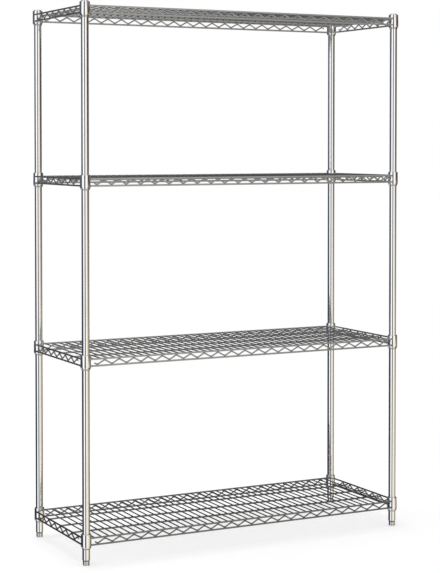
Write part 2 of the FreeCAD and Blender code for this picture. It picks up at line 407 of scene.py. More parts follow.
def rounded(outline, radius, closed):
    """Outline of (radius, height) points with its corners rounded."""
    count = len(outline)
    points = []
    for place, (r, z) in enumerate(outline):
        corner = Vector((r, z))
        if not closed and place in (0, count - 1):
            points.append(corner)
            continue
        before = Vector(outline[place - 1]) - corner
        after = Vector(outline[(place + 1) % count]) - corner
        reach = min(radius, before.length * CORNER_SHARE, after.length * CORNER_SHARE)
        start = corner + before.normalized() * reach
        end = corner + after.normalized() * reach
        for step in range(CORNER_STEPS + 1):
            share = step / CORNER_STEPS
            points.append(start.lerp(corner, share).lerp(corner.lerp(end, share), share))
    return points


def turned(name, outline, closed, centres, sizes, material):
    """Pieces turned about upright axes from one outline of radii and heights, with rounded edges."""
    profile = rounded(outline, sizes.edge_round, closed)
    work = bmesh.new()
    for centre in centres:
        rings = []
        for r, z in profile:
            turns = sizes.turned_sides if r > ON_AXIS else 1
            ring = []
            for count in range(turns):
                angle = 2 * math.pi * count / turns
                x = centre.x + r * math.cos(angle)
                y = centre.y + r * math.sin(angle)
                ring.append(work.verts.new((x, y, z)))
            rings.append(ring)
        pairs = list(zip(rings, rings[1:]))
        if closed:
            pairs.append((rings[-1], rings[0]))
        for lower, upper in pairs:
            bridge(work, lower, upper)
    mesh = bpy.data.meshes.new(name)
    work.to_mesh(mesh)
    work.free()
    mesh.materials.append(material)
    tidy_mesh(mesh)
    return new_object(name, mesh)


def bridge(work, lower, upper):
    """Faces between two rings, either of which may be a single point."""
    count = max(len(lower), len(upper))
    for place in range(count):
        following = (place + 1) % count
        corners = []
        for ring, places in ((lower, (place, following)), (upper, (following, place))):
            corners += [ring[0]] if len(ring) == 1 else [ring[index] for index in places]
        work.faces.new(corners)


def settings(context):
    """Sizes and finishes that are set on the scene."""
    shelving = context.scene.shelving
    return shelving.sizes, shelving.finishes


def settle(piece, body, slot, *nodes):
    """Hangs a finished piece on its body in place of its solids."""
    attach(piece, body)
    if nodes:
        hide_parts(*nodes)


def paint(node, material):
    """Gives a solid that stays in view its finish."""
    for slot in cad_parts[node].material_slots:
        slot.material = material


# Materials

# Draw lines to the metre along X, Y and Z, and roughness of each bright finish
BRIGHT_FINISHES = {
    "post_bright_plate": ((900.0, 900.0, 9.0), 0.055),
    "long_shaded_wire_plate": ((12.0, 1500.0, 1500.0), 0.14),
    "cross_shaded_wire_plate": ((1500.0, 12.0, 1500.0), 0.14),
    "weld_plate": ((600.0, 600.0, 600.0), 0.22),
    "collar_plate": ((500.0, 500.0, 60.0), 0.08),
    "sleeve_shaded_metallised_plastic": ((400.0, 400.0, 120.0), 0.12),
    "foot_bright_plate": ((500.0, 500.0, 500.0), 0.24),
}
HAZE_SCALE = 14.0
HAZE_EDGE = (0.42, 0.78)
HAZE_SHADE = 0.10
PIT_SCALE = 1400.0
PIT_EDGE = (0.68, 0.78)
PIT_DUST = 0.25
PIT_RELIEF = 0.6
LINE_BUMP = (0.12, 0.02 * MM)
GROOVE_DUST = 0.08
GROOVE_DUST_EDGE = (0.25, 0.62)
WORN_SHARE = 0.45
HAZE_ROUGHNESS = 0.05
LINE_ROUGHNESS = 0.05
DUST_ROUGHNESS = 0.22
# Heights over which the painted shade on the wires fades, from darkest at the floor to none
FLOOR_SHADE_HEIGHTS = (0.0, 0.8)

# Roughness and grain of each plastic
PLASTIC_FINISHES = {
    "cap_moulded_plastic": (0.22, 1800.0),
    "insert_moulded_plastic": (0.45, 2500.0),
}
FLOW_DRAW = (60.0, 60.0, 12.0)
FLOW_SHARE = 0.78
RUB_SCALE = 120.0
RUB_EDGE = (0.55, 0.75)
RUB_GAIN = 1.12
RUB_LIFT = 0.01
RUB_GLOSS = 0.06
GRAIN_ROUGHNESS = 0.12
GRAIN_BUMP = (0.25, 0.05 * MM)

# Crystals and grease on the zinc
ZINC_ROUGHNESS = 0.32
CRYSTAL_SCALE = 1600.0
CRYSTAL_EDGE = (0.0, 0.8)
CRYSTAL_SHARE = 0.85
CRYSTAL_ROUGHNESS = 0.10
CRYSTAL_BUMP = (0.2, 0.03 * MM)
GREASE_SCALE = 220.0
GREASE_EDGE = (0.5, 0.7)
GREASE_COVER = 0.6
GREASE_SHARE = 0.55
GREASE_GLOSS = 0.08


def new_material(name):
    """Empty material, and the place on the object as the start of its tree."""
    material = bpy.data.materials.new(name)
    material.use_nodes = True
    material.node_tree.nodes.clear()
    return material, Signal(material.node_tree).add("ShaderNodeTexCoord").out("Object")


def noise(place, scale, detail=2.0, roughness=0.5):
    """Noise with a mean of a half."""
    return place.add("ShaderNodeTexNoise", inputs={
        "Vector": place, "Scale": scale, "Detail": detail, "Roughness": roughness})


def stretched(place, scale):
    """Coordinates with their own scale on each axis."""
    return place.add("ShaderNodeMapping", inputs={"Vector": place, "Scale": scale})


def bumped(strength, distance, height):
    """Surface direction over fine relief."""
    return height.add("ShaderNodeBump",
                      inputs={"Strength": strength, "Distance": distance, "Height": height})


def toned(colour, share):
    """A darker shade of a colour."""
    return tuple(channel * share for channel in colour)


def close_material(shader):
    """Links a shader to the material's output."""
    shader.add("ShaderNodeOutputMaterial", inputs={"Surface": shader})


def close_surface(tint, roughness, bump, metallic=0.0):
    """Ends a material with one surface of metal or plastic."""
    close_material(tint.add("ShaderNodeBsdfPrincipled", inputs={
        "Base Color": tint, "Metallic": metallic, "Roughness": roughness, "Normal": bump}))


def bright_plate(name, colour, groove=None, floor_shade=0.0):
    """Bright plate on drawn steel: draw lines, haze, pits, dust in grooves and painted shade near the
    floor.
    """
    material, place = new_material(name)
    draw, gloss = BRIGHT_FINISHES[name]
    lines = noise(stretched(place, draw), 1.0, detail=3.0, roughness=0.6)
    pits = noise(place, PIT_SCALE, detail=1.0).between(*PIT_EDGE)
    dull = noise(place, HAZE_SCALE, detail=4.0, roughness=0.6).between(*HAZE_EDGE)
    dust = pits * PIT_DUST
    height = split(place)[2]
    if groove:
        swing = (height - groove["first"]) / groove["pitch"] + 0.5
        across = ((swing % 1.0) - 0.5).absolute() * groove["pitch"]
        low, high = (share * groove["width"] for share in GROOVE_DUST_EDGE)
        dust = dust + (1.0 - across.between(low, high)) * GROOVE_DUST
    shade = (dust + dull * HAZE_SHADE).at_most(1.0)
    # Painted shade: the colour is darker towards the floor
    base = height.between(*FLOOR_SHADE_HEIGHTS).blend(toned(colour, 1 - floor_shade), colour)
    tint = shade.blend(base, toned(colour, WORN_SHARE))
    roughness = gloss + dull * HAZE_ROUGHNESS + (lines - 0.5) * LINE_ROUGHNESS + dust * DUST_ROUGHNESS
    close_surface(tint, roughness, bumped(*LINE_BUMP, lines - pits * PIT_RELIEF), metallic=1.0)
    return material


def moulded_plastic(name, colour):
    """Moulded plastic with a fine grain, faint flow marks and rubbed patches."""
    material, place = new_material(name)
    gloss, texture = PLASTIC_FINISHES[name]
    grain = noise(place, texture)
    flow = noise(stretched(place, FLOW_DRAW), 1.0, detail=3.0)
    rubbed = noise(place, RUB_SCALE, detail=3.0, roughness=0.6).between(*RUB_EDGE)
    paler = tuple(min(1.0, channel * RUB_GAIN + RUB_LIFT) for channel in colour)
    tint = rubbed.blend(flow.blend(toned(colour, FLOW_SHARE), colour), paler)
    roughness = gloss + (grain - 0.5) * GRAIN_ROUGHNESS - rubbed * RUB_GLOSS
    close_surface(tint, roughness, bumped(*GRAIN_BUMP, grain))
    return material


def zinc_plate(name, colour):
    """Dull zinc with a fine crystal mottle and grease in the thread."""
    material, place = new_material(name)
    crystals = place.add("ShaderNodeTexVoronoi", {"feature": "F1"},
                         {"Vector": place, "Scale": CRYSTAL_SCALE}, output="Distance")
    grease = noise(place, GREASE_SCALE, detail=3.0).between(*GREASE_EDGE)
    mottle = crystals.between(*CRYSTAL_EDGE)
    clean = mottle.blend(colour, toned(colour, CRYSTAL_SHARE))
    tint = (grease * GREASE_COVER).blend(clean, toned(colour, GREASE_SHARE))
    roughness = ZINC_ROUGHNESS + mottle * CRYSTAL_ROUGHNESS - grease * GREASE_GLOSS
    close_surface(tint, roughness, bumped(*CRYSTAL_BUMP, crystals), metallic=1.0)
    return material


# Posts

# Height of a sleeve's bead above the foot of its collar
SLEEVE_BEAD = 19.5 * MM

# Rings of points over each groove, and how far they reach, to half of its width
GROOVE_RINGS = 9
RING_REACH = 1.6


def groove_places(sizes, low, high):
    """Height of the first groove and the number of grooves on a post."""
    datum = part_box("bottom_shelf_collars")[0].z + SLEEVE_BEAD
    first = math.ceil((low + sizes.groove_margin - datum) / sizes.groove_pitch)
    last = math.floor((high - sizes.groove_margin - datum) / sizes.groove_pitch)
    return datum + first * sizes.groove_pitch, last - first + 1


def post_tree():
    """Tube with a rounded groove rolled in at every pitch."""
    tree, given = new_tree(
        "Grooved Post", Int=["Groove Count", "Sides"],
        Float=["Bottom", "Top", "Diameter", "First Groove", "Groove Pitch", "Groove Width", "Groove Depth",
               "Axis X", "Axis Y"])
    count = given["Groove Count"] * GROOVE_RINGS + 2
    index = count.add("GeometryNodeInputIndex")
    at_bottom = index < 0.5
    at_top = index > count - 1.5
    inside = 1 - at_bottom - at_top
    groove = ((index - 1) / GROOVE_RINGS).floor()
    half = (GROOVE_RINGS - 1) / 2
    swing = (index - 1 - groove * GROOVE_RINGS - half) / half * RING_REACH
    height = given["First Groove"] + groove * given["Groove Pitch"] + swing * given["Groove Width"] * 0.5
    z = height * inside + given["Bottom"] * at_bottom + given["Top"] * at_top
    inner = swing.at_least(-1.0).at_most(1.0)
    dip = ((inner * math.pi).cos() + 1) * 0.5 * inside
    path = placed_line(count, vector(given["Axis X"], given["Axis Y"], z))
    scale = 1 - dip * given["Groove Depth"] / (given["Diameter"] * 0.5)
    close_tree(tube(path, given["Diameter"], given["Sides"], scale, False), given["Material"])
    return tree


class SHELVING_OT_posts(bpy.types.Operator):
    """Roll the grooves in the four post tubes"""
    bl_idname = "shelving.posts"
    bl_label = "Roll Posts"

    def execute(self, context):
        sizes, finishes = settings(context)
        low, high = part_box("front_left_post")
        first, count = groove_places(sizes, low.z, high.z)
        groove = {"first": first, "pitch": sizes.groove_pitch, "width": sizes.groove_width}
        material = bright_plate("post_bright_plate", finishes.post_plate, groove)
        tree = post_tree()
        for corner, axis in POST_AXES.items():
            piece = grown(corner + "_grooved_post", tree, {
                "Bottom": low.z, "Top": high.z, "Diameter": round(high.x - low.x, 4), "First Groove": first,
                "Groove Pitch": sizes.groove_pitch, "Groove Count": count,
                "Groove Width": sizes.groove_width, "Groove Depth": sizes.groove_depth,
                "Axis X": axis.x, "Axis Y": axis.y, "Sides": sizes.turned_sides, "Material": material})
            walled(piece, sizes.post_wall)
            settle(piece, "root", "post_tube", corner + "_post")
        return {"FINISHED"}


# Shelf wires

COPE_SIDES = 48
BEND_STEPS = 7
EXTRA_RAIL_SIDES = 2


def shelf_heights(shelf, sizes):
    """Heights of the rail, deck and stringer centres of a shelf."""
    low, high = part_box(shelf + "_front_truss")
    return {
        "top_rail": high.z - sizes.rail_diameter / 2,
        "bottom_rail": low.z + sizes.rail_diameter / 2,
        "deck": centre_of(shelf + "_deck_wires").z,
        "stringer": centre_of(shelf + "_stringers").z,
    }


def zigzag_shape(sizes, rail_spacing, span):
    """Bends, peak height and end share of a zigzag that fits between two rails."""
    rise = rail_spacing - sizes.rail_diameter - sizes.zigzag_diameter
    centre = sizes.zigzag_bend - rise / 2
    tilt = math.atan2(-2 * centre, sizes.zigzag_half_pitch)
    distance = math.hypot(2 * centre, sizes.zigzag_half_pitch)
    slope = tilt + math.asin(2 * sizes.zigzag_bend / distance)
    runs = math.floor((span - 2 * sizes.zigzag_margin) / sizes.zigzag_half_pitch)
    runs -= 1 - runs % 2
    tail = sizes.zigzag_bend * math.tan(slope) + sizes.zigzag_stub
    return {
        "bends": runs + 1,
        "peak": sizes.zigzag_bend / math.cos(slope) - centre,
        "end_share": tail * math.cos(slope) / sizes.zigzag_half_pitch,
        "rise": rise,
    }


def truss_tree():
    """Two rails, coped round the collars, and the zigzag wire between them, along X."""
    tree, given = new_tree(
        "Wire Truss", Int=["Bends", "Sides"], Vector=["Centre"],
        Float=["Span", "Rail Spacing", "Rail Diameter", "Post Offset", "Cope Radius", "Half Pitch",
               "Peak Height", "End Share", "Bend Radius", "Zigzag Diameter", "Turn"])
    half_span = given["Span"] * 0.5
    half_spacing = given["Rail Spacing"] * 0.5
    rails = []
    copes = []
    for side in (-1, 1):
        height = half_spacing * side
        line = height.add("GeometryNodeCurvePrimitiveLine", inputs={
            "Start": vector(half_span * -1, 0, height), "End": vector(half_span, 0, height)})
        rails.append(tube(line, given["Rail Diameter"], given["Sides"] + EXTRA_RAIL_SIDES))
        rod = height.add("GeometryNodeMeshCylinder", inputs={
            "Vertices": COPE_SIDES, "Radius": given["Cope Radius"], "Depth": given["Rail Spacing"] * 2})
        copes.append(rod.add("GeometryNodeTransform", inputs={
            "Geometry": rod, "Translation": vector(half_span * side, given["Post Offset"], 0)}))
    coped = joined(*rails).add("GeometryNodeMeshBoolean", {"operation": "DIFFERENCE"},
                               {"Mesh 1": joined(*rails), "Mesh 2": joined(*copes)})

    # Peaks and valleys take turns, and the two ends stop part of the way to the next one
    count = given["Bends"] + 2
    index = count.add("GeometryNodeInputIndex")
    at_start = index < 0.5
    at_end = index > count - 1.5
    short = 1 - given["End Share"]
    x = (index - (count - 1) * 0.5 + (at_start - at_end) * short) * given["Half Pitch"]
    side = (index % 2) * -2 + 1
    z = side * given["Peak Height"] * (1 - (at_start + at_end) * short * 2)
    path = placed_line(count, vector(x, 0, z))
    bent = path.add("GeometryNodeFilletCurve", {"mode": "POLY"}, {
        "Curve": path, "Count": BEND_STEPS, "Radius": given["Bend Radius"], "Limit Radius": True})
    zigzag = tube(bent, given["Zigzag Diameter"], given["Sides"])
    whole = joined(coped, zigzag)
    turned_truss = whole.add("GeometryNodeTransform", inputs={
        "Geometry": whole, "Translation": given["Centre"], "Rotation": vector(0, 0, given["Turn"])})
    close_tree(turned_truss, given["Material"])
    return tree


def row(low, high, diameter, count):
    """Centres of rods spaced evenly between two outer faces."""
    pitch = (high - low - diameter) / (count - 1)
    return [low + diameter / 2 + place * pitch for place in range(count)]


def rods_tree():
    """Row of straight rods."""
    tree, given = new_tree("Row of Rods", Int=["Count", "Sides"], Vector=["First", "Step", "Reach"],
                           Float=["Diameter"])
    count = given["Count"]
    starts = count.add("GeometryNodeMeshLine", inputs={
        "Count": count, "Start Location": given["First"], "Offset": given["Step"]})
    line = count.add("GeometryNodeCurvePrimitiveLine", inputs={"End": given["Reach"]})
    rod = tube(line, given["Diameter"], given["Sides"])
    rods = starts.add("GeometryNodeInstanceOnPoints", inputs={"Points": starts, "Instance": rod})
    close_tree(rods, given["Material"])
    return tree


def truss_places(heights):
    """Centre, turn, span and side of the post axes for each truss of a shelf."""
    middle = (heights["top_rail"] + heights["bottom_rail"]) / 2
    x = SPAN_X / 2 + RAIL_OFFSET
    y = SPAN_Y / 2 + RAIL_OFFSET
    quarter = -math.pi / 2
    return {
        "front": (Vector((0, -y, middle)), 0.0, SPAN_X, RAIL_OFFSET),
        "back": (Vector((0, y, middle)), 0.0, SPAN_X, -RAIL_OFFSET),
        "left": (Vector((-x, 0, middle)), quarter, SPAN_Y, RAIL_OFFSET),
        "right": (Vector((x, 0, middle)), quarter, SPAN_Y, -RAIL_OFFSET),
    }


class SHELVING_OT_shelf_wires(bpy.types.Operator):
    """Bend and lay the wires of the four shelves"""
    bl_idname = "shelving.shelf_wires"
    bl_label = "Bend Shelf Wires"

    def execute(self, context):
        sizes, finishes = settings(context)
        floor_shade = finishes.wire_floor_shade
        # Painted shade: the wires get darker copies of the bright plate
        long_shaded_wire = bright_plate("long_shaded_wire_plate", finishes.long_shaded_wire_plate, floor_shade=floor_shade)
        cross_shaded_wire = bright_plate("cross_shaded_wire_plate", finishes.cross_shaded_wire_plate, floor_shade=floor_shade)
        trusses = truss_tree()
        rods = rods_tree()
        for shelf in SHELVES:
            heights = shelf_heights(shelf, sizes)
            spacing = heights["top_rail"] - heights["bottom_rail"]
            for side, (centre, turn, span, offset) in truss_places(heights).items():
                shape = zigzag_shape(sizes, spacing, span)
                piece = grown(f"{shelf}_{side}_truss_wires", trusses, {
                    "Span": span, "Rail Spacing": spacing, "Rail Diameter": sizes.rail_diameter,
                    "Post Offset": offset, "Cope Radius": sizes.cope_radius,
                    "Half Pitch": sizes.zigzag_half_pitch, "Bends": shape["bends"],
                    "Peak Height": shape["peak"], "End Share": shape["end_share"],
                    "Bend Radius": sizes.zigzag_bend, "Zigzag Diameter": sizes.zigzag_diameter,
                    "Sides": sizes.wire_sides, "Centre": centre, "Turn": turn,
                    "Material": cross_shaded_wire if turn else long_shaded_wire})
                settle(piece, shelf, "shelf_wire", f"{shelf}_{side}_truss")
            self.lay_rods(rods, shelf, heights, sizes, cross_shaded_wire, long_shaded_wire)
        return {"FINISHED"}

    def lay_rods(self, tree, shelf, heights, sizes, cross_shaded_wire, long_shaded_wire):
        """Deck wires across the shelf and stringers along it."""
        low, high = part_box(shelf + "_deck_wires")
        columns = row(low.x, high.x, sizes.deck_diameter, sizes.deck_count)
        piece = grown(shelf + "_deck_rods", tree, {
            "Count": sizes.deck_count, "Step": Vector((columns[1] - columns[0], 0, 0)),
            "First": Vector((columns[0], low.y, heights["deck"])),
            "Reach": Vector((0, high.y - low.y, 0)), "Diameter": sizes.deck_diameter,
            "Sides": sizes.wire_sides, "Material": cross_shaded_wire})
        settle(piece, shelf, "shelf_wire", shelf + "_deck_wires")
        low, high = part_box(shelf + "_stringers")
        lanes = row(low.y, high.y, sizes.stringer_diameter, sizes.stringer_count)
        piece = grown(shelf + "_stringer_rods", tree, {
            "Count": sizes.stringer_count, "Step": Vector((0, lanes[1] - lanes[0], 0)),
            "First": Vector((low.x, lanes[0], heights["stringer"])),
            "Reach": Vector((high.x - low.x, 0, 0)), "Diameter": sizes.stringer_diameter,
            "Sides": sizes.wire_sides, "Material": long_shaded_wire})
        settle(piece, shelf, "shelf_wire", shelf + "_stringers")


# Welds

BEAD_SEED = 7
BEAD_UNEVENNESS = 0.16
BEAD_SEGMENTS = 8
BEAD_RINGS = 6

# Reach of beads, to the growth of a weld
RAIL_END_BEAD = 7
DECK_END_BEAD = 1.5
STRINGER_END_BEAD = 2
STRINGER_END_HEIGHT = 1.6
CROSSING_GROWTH = 0.6

# Half sizes of beads, to half of the wire that they hold
CROSSING_BEAD = 0.8
BEND_BEAD = 1.9
BEND_BEAD_WIDTH = 0.8


def bead_tree():
    """Small lens of weld metal on every point, each a little different."""
    tree, given = new_tree("Weld Beads", Geometry=["Points"], Float=["Unevenness"], Int=["Seed"])
    points = given["Points"]
    size = points.add("GeometryNodeInputNamedAttribute", {"data_type": "FLOAT_VECTOR"},
                      {"Name": "bead_size"})
    spread = given["Unevenness"]
    growth = points.add("FunctionNodeRandomValue", {"data_type": "FLOAT"},
                        {"Min": 1 - spread, "Max": 1 + spread, "Seed": given["Seed"]})
    scale = size.add("ShaderNodeVectorMath", {"operation": "SCALE"}, {"Vector": size, "Scale": growth})
    bead = points.add("GeometryNodeMeshUVSphere",
                      inputs={"Segments": BEAD_SEGMENTS, "Rings": BEAD_RINGS, "Radius": 1.0})
    beads = points.add("GeometryNodeInstanceOnPoints",
                       inputs={"Points": points, "Instance": bead, "Scale": scale})
    close_tree(beads, given["Material"])
    return tree


def weld_places(shelf, sizes):
    """Place and half sizes of every weld of a shelf."""
    heights = shelf_heights(shelf, sizes)
    grow = sizes.bead_growth
    deck = sizes.deck_diameter / 2
    rail = sizes.rail_diameter / 2
    zigzag = sizes.zigzag_diameter / 2
    stringer = sizes.stringer_diameter / 2
    welds = []

    # Deck wires on the long rails and on the stringers
    low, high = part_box(shelf + "_deck_wires")
    string_low, string_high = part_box(shelf + "_stringers")
    lanes = row(string_low.y, string_high.y, sizes.stringer_diameter, sizes.stringer_count)
    contact = heights["deck"] - deck
    for x in row(low.x, high.x, sizes.deck_diameter, sizes.deck_count):
        for y in (low.y, high.y):
            welds.append(((x, y, heights["deck"]), (deck + grow, grow * DECK_END_BEAD, deck + grow)))
        for y in lanes:
            welds.append(((x, y, contact), (deck + grow * CROSSING_GROWTH, stringer * CROSSING_BEAD, grow)))

    # Stringer ends under the side rails
    for y in lanes:
        for x in (string_low.x, string_high.x):
            place = (x, y, heights["stringer"] + stringer)
            welds.append((place, (grow * STRINGER_END_BEAD, stringer, grow * STRINGER_END_HEIGHT)))

    # Zigzag bends on the rails, and rail ends on the collars
    spacing = heights["top_rail"] - heights["bottom_rail"]
    for centre, turn, span, offset in truss_places(heights).values():
        along = Vector((math.cos(turn), math.sin(turn), 0))
        across = Vector((-math.sin(turn), math.cos(turn), 0))
        shape = zigzag_shape(sizes, spacing, span)
        touch = shape["rise"] / 2 + zigzag
        bend_bead = bead_axes(along, across, zigzag * BEND_BEAD, zigzag * BEND_BEAD_WIDTH, grow)
        for bend in range(shape["bends"]):
            run = (bend - (shape["bends"] - 1) / 2) * sizes.zigzag_half_pitch
            side = -1 if bend % 2 == 0 else 1
            place = centre + along * run + Vector((0, 0, side * touch))
            welds.append((place, bend_bead))
        reach = math.sqrt(sizes.collar_rim ** 2 - offset ** 2)
        end_bead = bead_axes(along, across, grow * RAIL_END_BEAD, rail + grow, rail + grow)
        for end in (-1, 1):
            for height in (-spacing / 2, spacing / 2):
                place = centre + along * end * (span / 2 - reach) + Vector((0, 0, height))
                welds.append((place, end_bead))
    return welds


def bead_axes(along, across, length, width, height):
    """Half sizes on X, Y and Z of a bead that lies along a wire."""
    return (abs(along.x) * length + abs(across.x) * width,
            abs(along.y) * length + abs(across.y) * width, height)


class SHELVING_OT_welds(bpy.types.Operator):
    """Weld the wires of the four shelves"""
    bl_idname = "shelving.welds"
    bl_label = "Weld Shelves"

    def execute(self, context):
        sizes, finishes = settings(context)
        # Painted shade: the welds take the long wires' darkened plate and its painted shade near the floor
        material = bright_plate("weld_plate", finishes.long_shaded_wire_plate, floor_shade=finishes.wire_floor_shade)
        tree = bead_tree()
        for count, shelf in enumerate(SHELVES):
            welds = weld_places(shelf, sizes)
            points = bpy.data.meshes.new(shelf + "_weld_points")
            points.from_pydata([tuple(place) for place, size in welds], [], [])
            attribute = points.attributes.new("bead_size", "FLOAT_VECTOR", "POINT")
            for item, (place, size) in zip(attribute.data, welds):
                item.vector = size
            piece = grown(shelf + "_weld_beads", tree, {
                "Unevenness": BEAD_UNEVENNESS, "Seed": BEAD_SEED + count, "Material": material}, points)
            settle(piece, shelf, "shelf_wire")
        return {"FINISHED"}


# Turned pieces

DOME_STEPS = 10
ROWS_PER_TURN = 8
THREAD_SIDES = 32


class SHELVING_OT_collars(bpy.types.Operator):
    """Turn the tapered collars at the corners of the shelves"""
    bl_idname = "shelving.collars"
    bl_label = "Turn Collars"

    def execute(self, context):
        sizes, finishes = settings(context)
        material = bright_plate("collar_plate", finishes.collar_plate)
        for shelf in SHELVES:
            low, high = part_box(shelf + "_collars")
            outline = [
                (sizes.collar_bore_low, low.z),
                (sizes.collar_foot, low.z),
                (sizes.collar_shoulder, low.z + sizes.collar_shoulder_height),
                (sizes.collar_rim, high.z - sizes.collar_rim_chamfer),
                (sizes.collar_rim - sizes.collar_rim_chamfer, high.z),
                (sizes.collar_bore_high, high.z),
            ]
            piece = turned(shelf + "_turned_collars", outline, True, POST_AXES.values(), sizes, material)
            settle(piece, shelf, "collar_metal", shelf + "_collars")
        return {"FINISHED"}


class SHELVING_OT_sleeves(bpy.types.Operator):
    """Finish the split sleeves on the posts"""
    bl_idname = "shelving.sleeves"
    bl_label = "Finish Sleeves"

    def execute(self, context):
        finishes = settings(context)[1]
        # Painted shade: darkened plate for the shadow line at the collar rims
        material = bright_plate("sleeve_shaded_metallised_plastic", finishes.sleeve_plastic)
        for shelf in SHELVES:
            for side in ("left", "right"):
                paint(f"{shelf}_{side}_sleeves", material)
        return {"FINISHED"}


class SHELVING_OT_caps(bpy.types.Operator):
    """Fit the domed caps on the posts"""
    bl_idname = "shelving.caps"
    bl_label = "Fit Post Caps"

    def execute(self, context):
        sizes, finishes = settings(context)
        material = moulded_plastic("cap_moulded_plastic", finishes.cap_plastic)
        for corner, axis in POST_AXES.items():
            low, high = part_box(corner + "_post_cap")
            radius = (high.x - low.x) / 2
            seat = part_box(corner + "_post")[1].z
            rim = seat + sizes.cap_rim
            rise = high.z - rim
            dome = (radius ** 2 + rise ** 2) / (2 * rise)
            bore = sizes.cap_plug - sizes.cap_plug_wall
            outline = [(0.0, seat), (bore, seat), (bore, low.z), (sizes.cap_plug, low.z),
                       (sizes.cap_plug, seat), (radius, seat)]
            for step in range(DOME_STEPS):
                r = radius * (1 - step / DOME_STEPS)
                outline.append((r, high.z - dome + math.sqrt(dome ** 2 - r ** 2)))
            outline.append((0.0, high.z))
            piece = turned(corner + "_domed_cap", outline, False, [axis], sizes, material)
            settle(piece, "root", "cap_plastic", corner + "_post_cap")
        return {"FINISHED"}


def thread_tree():
    """Stud with a screw thread cut round it."""
    tree, given = new_tree("Levelling Thread", Int=["Rows", "Sides"],
                           Float=["Bottom", "Top", "Radius", "Pitch", "Depth", "Axis X", "Axis Y"])
    length = given["Top"] - given["Bottom"]
    stud = length.add("GeometryNodeMeshCylinder", inputs={
        "Vertices": given["Sides"], "Side Segments": given["Rows"], "Radius": given["Radius"],
        "Depth": length})
    x, y, z = split(stud.add("GeometryNodeInputPosition"))
    angle = x.maths("ARCTAN2", y, x)
    climb = z / given["Pitch"] - angle / (2 * math.pi)
    wave = climb.maths("PINGPONG", climb, 0.5) * 2
    ends = (length * 0.5 - z.absolute()) / given["Pitch"]
    cut = (1 - wave * ends.at_most(1.0)) * given["Depth"] * -1
    shaped = stud.add("GeometryNodeSetPosition", inputs={
        "Geometry": stud, "Offset": vector(angle.cos() * cut, angle.sin() * cut, 0)})
    middle = (given["Top"] + given["Bottom"]) * 0.5
    stood = shaped.add("GeometryNodeTransform", inputs={
        "Geometry": shaped, "Translation": vector(given["Axis X"], given["Axis Y"], middle)})
    close_tree(stood, given["Material"])
    return tree


class SHELVING_OT_levelling(bpy.types.Operator):
    """Cut the threads and turn the feet of the levelling gear"""
    bl_idname = "shelving.levelling"
    bl_label = "Cut Levelling Gear"

    def execute(self, context):
        sizes, finishes = settings(context)
        zinc = zinc_plate("stem_zinc_plate", finishes.stem_zinc)
        plate = bright_plate("foot_bright_plate", finishes.foot_plate)
        plastic = moulded_plastic("insert_moulded_plastic", finishes.insert_plastic)
        tree = thread_tree()
        for corner, axis in POST_AXES.items():
            paint(corner + "_threaded_insert", plastic)
            low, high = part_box(corner + "_levelling_stem")
            rows = round((high.z - low.z) / sizes.thread_pitch * ROWS_PER_TURN)
            stem = grown(corner + "_threaded_stem", tree, {
                "Bottom": low.z, "Top": high.z, "Radius": round(high.x - low.x, 5) / 2,
                "Pitch": sizes.thread_pitch, "Depth": sizes.thread_depth, "Rows": rows,
                "Sides": THREAD_SIDES, "Axis X": axis.x, "Axis Y": axis.y, "Material": zinc})
            settle(stem, corner + "_stem", "stem_steel", corner + "_levelling_stem")
            self.turn_foot(corner, axis, sizes, plate)
        return {"FINISHED"}

    def turn_foot(self, corner, axis, sizes, material):
        """Round foot with a socket for its stem."""
        low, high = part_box(corner + "_levelling_foot")
        radius = round(high.x - low.x, 4) / 2
        outline = [
            (0.0, low.z),
            (radius - sizes.foot_chamfer, low.z),
            (radius, low.z + sizes.foot_chamfer),
            (radius, high.z - sizes.foot_shoulder),
            (radius - sizes.foot_shoulder, high.z),
            (sizes.foot_socket, high.z),
            (sizes.foot_socket, high.z - sizes.foot_socket_depth),
            (0.0, high.z - sizes.foot_socket_depth),
        ]
        piece = turned(corner + "_turned_foot", outline, False, [axis], sizes, material)
        settle(piece, corner + "_foot", "foot_metal", corner + "_levelling_foot")


# Stage

WHITE = (1.0, 1.0, 1.0)
FLOOR_SIZE = 40.0
FLOOR_FADE = (0.8, 2.1)
KEY_SIZE = 4.4
KEY_PLACE = (-0.4, 0.5, 4.4)
KEY_AIM = (0.0, 0.0, 0.6)

# Tones of the studio's walls, each at one turn or more from the camera's side, in degrees to the right
UPPER_WALLS = (
    ((-180,), (0.300, 0.302, 0.306)),
    ((-177, -166), (1.0, 1.0, 1.0)),
    ((-162, -120), (0.120, 0.124, 0.132)),
    ((-71,), (0.080, 0.098, 0.132)),
    ((-65,), (1.150, 1.170, 1.200)),
    ((-22,), (1.150, 1.165, 1.190)),
    ((-16,), (0.115, 0.118, 0.126)),
    ((7,), (0.115, 0.115, 0.119)),
    ((13,), (1.160, 1.135, 1.100)),
    ((54,), (1.120, 1.065, 1.010)),
    ((63,), (0.092, 0.069, 0.056)),
    ((150,), (0.092, 0.070, 0.058)),
    ((160,), (0.85, 0.84, 0.82)),
    ((171,), (0.300, 0.295, 0.290)),
)
LOWER_WALLS = (
    ((-180,), (0.100, 0.104, 0.110)),
    ((-177, -166), (0.95, 0.95, 0.95)),
    ((-162,), (0.060, 0.064, 0.072)),
    ((-120,), (0.050, 0.055, 0.064)),
    ((-63,), (0.024, 0.034, 0.052)),
    ((-57,), (1.150, 1.170, 1.200)),
    ((-24,), (1.150, 1.165, 1.190)),
    ((-18,), (0.090, 0.092, 0.098)),
    ((7,), (0.090, 0.090, 0.093)),
    ((13,), (1.14, 1.11, 1.00)),
    ((62,), (0.94, 0.87, 0.73)),
    ((88,), (0.57, 0.50, 0.38)),
    ((104,), (0.270, 0.205, 0.135)),
    ((150,), (0.250, 0.188, 0.125)),
    ((160,), (0.85, 0.84, 0.80)),
    ((171,), (0.300, 0.290, 0.275)),
)
